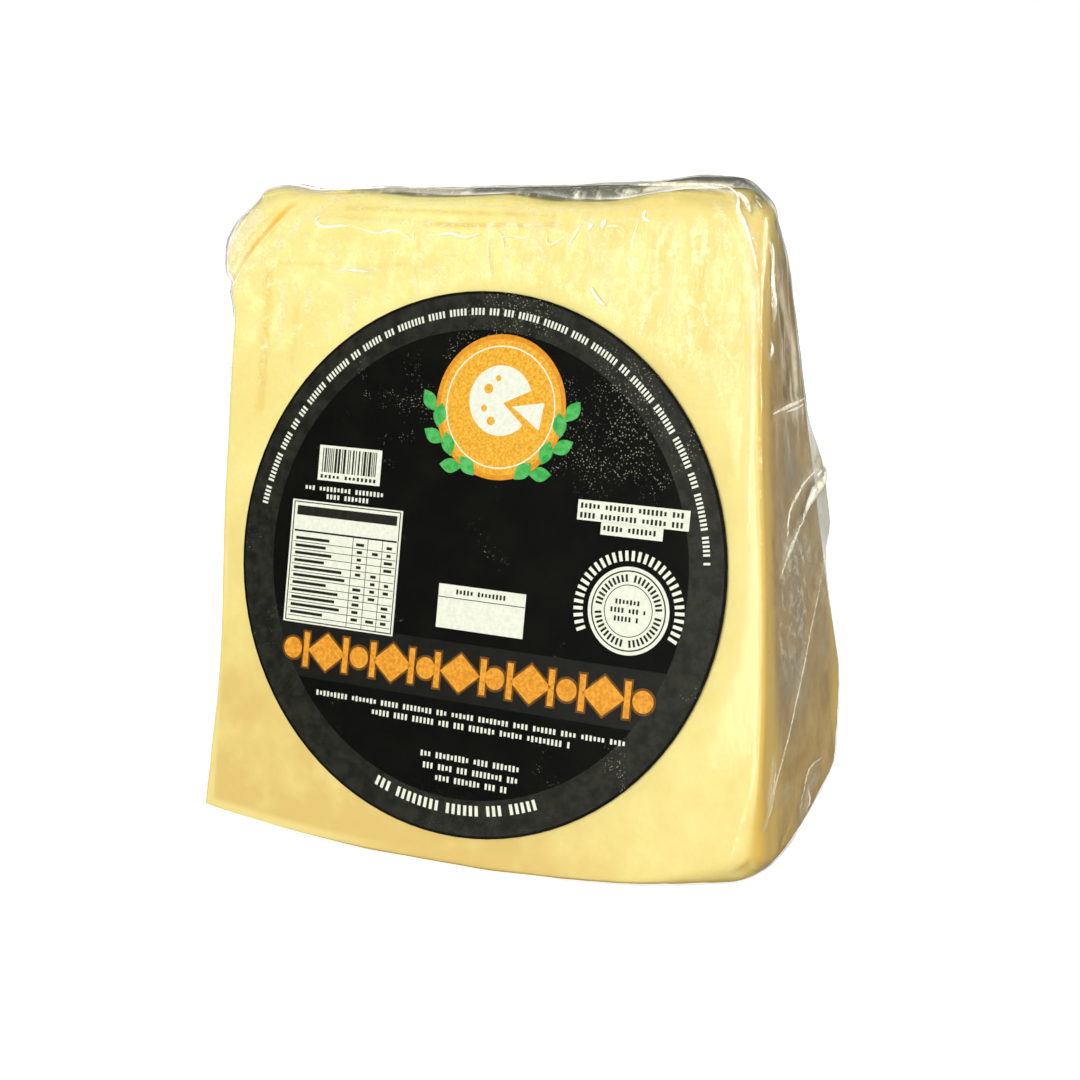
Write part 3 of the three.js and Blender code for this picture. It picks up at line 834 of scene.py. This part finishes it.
# Drifts of specks, painted glints, at the right, the top and the upper left: middle, reach and how
# thick they are
DRIFTS = [((30, -14, 85), 19, 0.3), ((4, -9, 101), 15, 0.26), ((-22, -13, 88), 16, 0.16)]


def sprinkled(owner, point, plain):
    """Adds pin-prick specks 0.5 mm apart to a plain colour, painted glints off tiny pockets of air
    under the film, thick in drifts where the film has let go of the print."""
    pricks = add_node(owner, 'ShaderNodeTexVoronoi', {'Vector': point, 'Scale': 1 / (0.5 * MM)})
    glint_specks = mapped(owner, pricks.outputs['Distance'], 0.3, 0.1)
    drifts = clouds(owner, point, 9, 6, 0.7)
    for middle, reach, much in DRIFTS:
        away = add_node(owner, 'ShaderNodeVectorMath', {
            0: point, 1: Vector(middle) * MM}, operation='DISTANCE').outputs['Value']
        drifts = calculate(owner, 'ADD', drifts, mapped(owner, away, reach * MM, 0, 0, much))
    speckled = calculate(owner, 'MULTIPLY', glint_specks, mapped(owner, drifts, 0.6, 0.72))
    return mix_colours(owner, speckled, plain, "#A9A99C")


surface = add_node(coated, 'ShaderNodeBsdfPrincipled', {
    'Base Color': sprinkled(coated, point, black), 'Roughness': 0.42, 'Specular IOR Level': 0.05})
add_node(coated, 'ShaderNodeOutputMaterial', {'Surface': surface.outputs[0]})
label.data.materials.clear()
label.data.materials.append(coated)


# The print: flat fields of ink on the label, a few hundredths of a millimetre thick. Everything
# is laid out from the label's middle, U to the right and V up, and is turned a little.
PRINT_TURN = math.radians(-2.5)
LABEL_TOP = 0.6  # the label's outer face off the cut face
LAYER = 0.025  # thickness of one layer of ink
label_place = Vector((LABEL_X, FRONT_AT_TIP - LABEL_DROP * math.sin(lean),
                      TIP_HEIGHT - LABEL_DROP * math.cos(lean)))
outwards = Vector((0, -math.cos(lean), math.sin(lean)))
up_face = Vector((0, math.sin(lean), math.cos(lean)))
face_axes = Matrix((Vector((1, 0, 0)), up_face, outwards)).transposed().to_4x4()
on_label = (Matrix.Scale(MM, 4) @ Matrix.Translation(label_place + outwards * LABEL_TOP) @ face_axes
            @ Matrix.Rotation(PRINT_TURN, 4, 'Z'))


def ink(name, first, second, grain_size, specked=False):
    """Printing ink on coated paper: two close shades, grained at the screen's coarseness."""
    made, point = new_material(name)
    spread = mapped(made, clouds(made, point, grain_size, 3, 0.7), 0.38, 0.62)
    colour = mix_colours(made, spread, first, second)
    if specked:
        colour = sprinkled(made, point, colour)
    surface = add_node(made, 'ShaderNodeBsdfPrincipled', {
        'Base Color': colour, 'Roughness': 0.4, 'Specular IOR Level': 0.2})
    add_node(made, 'ShaderNodeOutputMaterial', {'Surface': surface.outputs[0]})
    return made


grey_ink = ink("grey_label_ink", "#0E0F0A", "#272822", 2.6, specked=True)
dark_ink = ink("dark_band_ink", "#040503", "#11120D", 2.6)
white_ink = ink("white_label_ink", "#F4F6EE", "#E6EAE2", 0.8)
black_ink = ink("black_label_ink", "#15160F", "#23241D", 1.0)
orange_ink = ink("orange_label_ink", "#F6C24A", "#E39A1C", 0.5)
amber_ink = ink("amber_label_ink", "#EBA02C", "#D98A1B", 0.8)
green_ink = ink("green_label_ink", "#2EA548", "#5CC06B", 1.6)
gold_ink = ink("gold_label_ink", "#F5AC3B", "#D98A22", 0.7)
bronze_ink = ink("bronze_label_ink", "#7A4E14", "#5C3A10", 0.8)
printed = []


def thicken(layer, material):
    """Gives the flat shape in hand the thickness of its layer, and its ink."""
    bpy.ops.object.mode_set(mode='EDIT')
    bpy.ops.mesh.select_all(action='SELECT')
    bpy.ops.mesh.extrude_region_move(TRANSFORM_OT_translate={"value": (0, 0, (layer + 0.5) * LAYER)})
    bpy.ops.mesh.select_all(action='SELECT')
    bpy.ops.mesh.normals_make_consistent(inside=False)
    bpy.ops.object.mode_set(mode='OBJECT')
    shape = bpy.context.object
    shape.data.materials.append(material)
    printed.append(shape)
    return shape


def field(outline, layer, material):
    """A flat field of ink inside an outline."""
    bpy.ops.object.select_all(action='DESELECT')
    bpy.ops.mesh.primitive_circle_add(
        vertices=len(outline), fill_type='NGON', location=(0, 0, -0.5 * LAYER))
    shape = bpy.context.object
    for vertex, (u, v) in zip(shape.data.vertices, outline):
        vertex.co = (u, v, 0)
    return thicken(layer, material)


def ring(inner, outer, layer, material, centre=(0, 0)):
    """A ring of ink."""
    bpy.ops.object.select_all(action='DESELECT')
    bpy.ops.mesh.primitive_circle_add(
        vertices=128, radius=outer, fill_type='NGON', location=(*centre, -0.5 * LAYER))
    bpy.ops.object.mode_set(mode='EDIT')
    bpy.ops.mesh.select_all(action='SELECT')
    bpy.ops.mesh.inset(thickness=outer - inner)
    bpy.ops.mesh.delete(type='FACE')
    bpy.ops.object.mode_set(mode='OBJECT')
    return thicken(layer, material)


def again(shape, u, v, turn=0, wide=1, tall=1):
    """Another of a shape that was drawn round the middle, at its own place, turn and size."""
    copy = shape.copy()
    copy.data = shape.data.copy()
    copy.data.transform(Matrix.Translation((u, v, 0)) @ Matrix.Rotation(turn, 4, 'Z')
                        @ Matrix.Diagonal((wide, tall, 1, 1)))
    bpy.context.collection.objects.link(copy)
    printed.append(copy)
    return copy


def rectangle(u0, v0, u1, v1):
    return [(u0, v0), (u1, v0), (u1, v1), (u0, v1)]


def around(centre, radius, angle):
    """The place at an angle round a centre."""
    return centre[0] + radius * math.cos(angle), centre[1] + radius * math.sin(angle)


def round_outline(radius, centre=(0, 0), sides=64):
    return [around(centre, radius, 2 * math.pi * i / sides) for i in range(sides)]


# The dark grey ring and the band across it
RING_INNER, RING_OUTER = 43, 49.5
BAND_BOTTOM, BAND_TOP = -25.2, -14.4
ring(RING_INNER, RING_OUTER, 1, grey_ink)
right_end = [(math.sqrt(RING_INNER ** 2 - v * v), v)
             for v in np.linspace(BAND_BOTTOM, BAND_TOP, 7)]
field(right_end + [(-u, v) for u, v in reversed(right_end)], 1, dark_ink)

# Rows of fine upright ticks in groups, white on the black and black on the white
white_tick = field(rectangle(-0.5, -0.5, 0.5, 0.5), 2, white_ink)
black_tick = field(rectangle(-0.5, -0.5, 0.5, 0.5), 3, black_ink)
TICK_SHARE = 0.55  # how much of a row's pitch its ticks take up


def groups(length, pitch):
    """Where ticks stand along a length, in groups of three to nine with a gap between."""
    at, left = 0, draw.randint(3, 9)
    while at < length:
        if left:
            yield at
            left -= 1
        else:
            left = draw.randint(3, 9)
        at += pitch


def tick_row(tick, u0, u1, v, height, pitch=0.8):
    for at in groups(u1 - u0, pitch):
        again(tick, u0 + at, v, 0, TICK_SHARE * pitch, height * draw.choice((0.75, 1, 1)))


def tick_arc(radius, start, end, height, pitch):
    """Ticks along an arc, from a start to an end angle in degrees."""
    span = math.radians(abs(end - start)) * radius
    for at in groups(span, pitch):
        angle = math.radians(start) + math.copysign(at / radius, end - start)
        again(white_tick, *around((0, 0), radius, angle), angle - math.pi / 2,
              TICK_SHARE * pitch, height)


tick_arc(46.3, 171, 6, 1.25, 0.75)
tick_arc(44.9, -110, -67, 1.9, 1.2)
for u0, u1, v, height in (
        (-30.3, 34.1, -27.7, 1.0), (-17.7, 23.6, -29.6, 1.1), (-6.5, 14.3, -35.6, 1.1),
        (-5.8, 14.1, -37.7, 1.1), (-3.0, 11.5, -39.7, 1.1), (-36.6, -18.5, 11.0, 0.9),
        (-31.7, -22.9, 9.6, 0.9)):
    tick_row(white_tick, u0, u1, v, height)

# Ruled table panel: frame, heading bar, rows and three narrow columns of short dashes
field(rectangle(-39.4, -15.0, -14.9, 8.5), 2, white_ink)
for u0, v0, u1, v1 in ((-39.0, 8.0, -15.3, 8.2), (-39.0, -14.7, -15.3, -14.5),
                       (-39.0, -14.7, -38.8, 8.2), (-15.5, -14.7, -15.3, 8.2)):
    field(rectangle(u0, v0, u1, v1), 3, black_ink)
field(rectangle(-38.2, 5.6, -16.0, 7.4), 3, black_ink)
again(black_tick, -27.1, 2.6, 0, 22.8, 0.35)
for row in range(11):
    v = 1.2 - row * 1.42
    length = draw.uniform(6, 12)
    again(black_tick, -38.0 + length / 2, v, 0, length, 0.55)
    again(black_tick, -27.1, v - 0.72, 0, 22.8, 0.12)
    for u in (-23.6, -20.2, -17.2):
        if draw.random() < 0.75:
            again(black_tick, u, v, 0, draw.uniform(0.9, 1.8), 0.55)
for u in (-25.2, -21.9, -18.7):
    again(black_tick, u, -5.9, 0, 0.12, 17.2)

# Panel of upright bars, thick and thin
field(rectangle(-34.3, 12.6, -20.5, 19.3), 2, white_ink)
at = -33.5
while at < -21.4:
    width = draw.choice((0.2, 0.2, 0.35, 0.5))
    again(black_tick, at + width / 2, 16.5, 0, width, 4.6)
    at += width + draw.choice((0.2, 0.3, 0.45))
tick_row(black_tick, -33.4, -21.6, 13.4, 0.7, 0.9)

# Bare writing panel with a heading line, and a small block of ruled lines
field(rectangle(-5.9, -12.0, 12.1, -3.9), 2, white_ink)
again(black_tick, 3.1, -6.3, 0, 17.8, 0.15)
tick_row(black_tick, -2.0, 8.4, -5.1, 0.9, 0.75)
field(rectangle(20.7, 10.6, 42.1, 14.2), 2, white_ink)
field(rectangle(25.5, 8.4, 37.4, 10.7), 2, white_ink)
for u0, u1, v in ((21.5, 41.5, 13.2), (21.5, 41.5, 11.5), (26.2, 36.9, 9.6)):
    tick_row(black_tick, u0, u1, v, 1.0)

# Round stamp: two thin rings with ticks between them, a few short rows inside, and a fan of longer
# ticks round its upper half
STAMP = (32.2, -4.4)
STAMP_TICKS, STAMP_GAP = 44, 11  # every eleventh is left out
FAN_TICKS, FAN_START, FAN_SPAN = 33, 205, 230
field(round_outline(7.8, STAMP), 2, white_ink)
ring(6.9, 7.15, 3, black_ink, STAMP)
ring(4.5, 4.65, 3, black_ink, STAMP)
for i in range(STAMP_TICKS):
    angle = 2 * math.pi * i / STAMP_TICKS
    if i % STAMP_GAP:
        again(black_tick, *around(STAMP, 5.8, angle), angle, 1.3, 0.42)
for v, reach in ((1.5, 2.4), (0, 3.2), (-1.5, 2.4)):
    tick_row(black_tick, STAMP[0] - reach, STAMP[0] + reach, STAMP[1] + v, 0.9, 0.7)
for i in range(FAN_TICKS):
    angle = math.radians(FAN_START - i * FAN_SPAN / (FAN_TICKS - 1))
    again(white_tick, *around(STAMP, 9.7, angle), angle - math.pi / 2, 0.62, 1.8)

# Medallion: a plain round with a rim, a cut wheel of cheese in cream, and green leaves below
MEDALLION = (3.4, 29.2)
field(round_outline(13.2, MEDALLION, 96), 2, amber_ink)
field(round_outline(12.3, MEDALLION, 96), 3, orange_ink)
ring(10.9, 11.15, 4, white_ink, MEDALLION)
wheel_middle = (MEDALLION[0], MEDALLION[1] + 1.2)
wheel = [around(wheel_middle, 6.4, math.radians(degrees)) for degrees in range(20, 321, 10)]
field([(MEDALLION[0] + 0.6, MEDALLION[1] + 0.8)] + wheel, 4, white_ink)
field([(MEDALLION[0] + u, MEDALLION[1] + v) for u, v in ((2.4, 0.3), (8.2, -3.6), (8.9, 1.4))],
      4, white_ink)
for u, v, size in ((-2.6, 3.2, 0.9), (-3.2, -0.4, 0.6), (-0.8, 5.2, 0.55), (-1.6, -2.6, 0.8)):
    field(round_outline(size, (MEDALLION[0] + u, MEDALLION[1] + v), 20), 5, orange_ink)
LEAF_LENGTH, LEAF_HALF_WIDTH = 4.6, 1.35
leaf_outline = [(LEAF_LENGTH * t, side * LEAF_HALF_WIDTH * math.sin(math.pi * t))
                for side, steps in ((1, np.linspace(0, 1, 13)), (-1, np.linspace(0.92, 0.08, 11)))
                for t in steps]
leaf = field(leaf_outline, 4, green_ink)
for side in (-1, 1):
    for i in range(6):
        angle = math.radians(-90 + side * (18 + i * 13))
        turn = angle + side * math.radians(90 - (28 if i % 2 else -28))
        again(leaf, *around(MEDALLION, 13.4, angle), turn)

# Ornament band: gold lozenges, discs and bars with bronze edges, much the same to both sides of
# the middle
BAND_V = -19.9
lozenge = [(0, -3.6), (4.2, 0), (0, 3.6), (-4.2, 0)]
edged_lozenge = (field([(u * 1.14, v * 1.14) for u, v in lozenge], 2, bronze_ink),
                 field(lozenge, 3, gold_ink))
edged_disc = (field(round_outline(2.45, sides=32), 2, bronze_ink),
              field(round_outline(2.0, sides=32), 3, gold_ink))
edged_bar = (field(rectangle(-0.95, -3.7, 0.95, 3.7), 2, bronze_ink),
             field(rectangle(-0.6, -3.3, 0.6, 3.3), 3, gold_ink))
for ornament, along in (
        (edged_lozenge, (-29, -14.5, 0, 14.5, 29)),
        (edged_disc, (-36.6, -21.75, -7.25, 7.25, 21.75, 36.6)),
        (edged_bar, (-24.8, -18.7, -10.3, -4.8, 4.8, 10.3, 18.7, 24.8, -33.6, 33.6))):
    for u in along:
        for shape in ornament:
            again(shape, u, BAND_V)

# The shapes that were only drawn to be repeated go, and the rest become one thin print.
for pattern in (white_tick, black_tick, leaf, *edged_lozenge, *edged_disc, *edged_bar):
    printed.remove(pattern)
    bpy.data.objects.remove(pattern)
label_print = join("label_print", printed)
label_print.data.transform(on_label)
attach(label_print, "root")
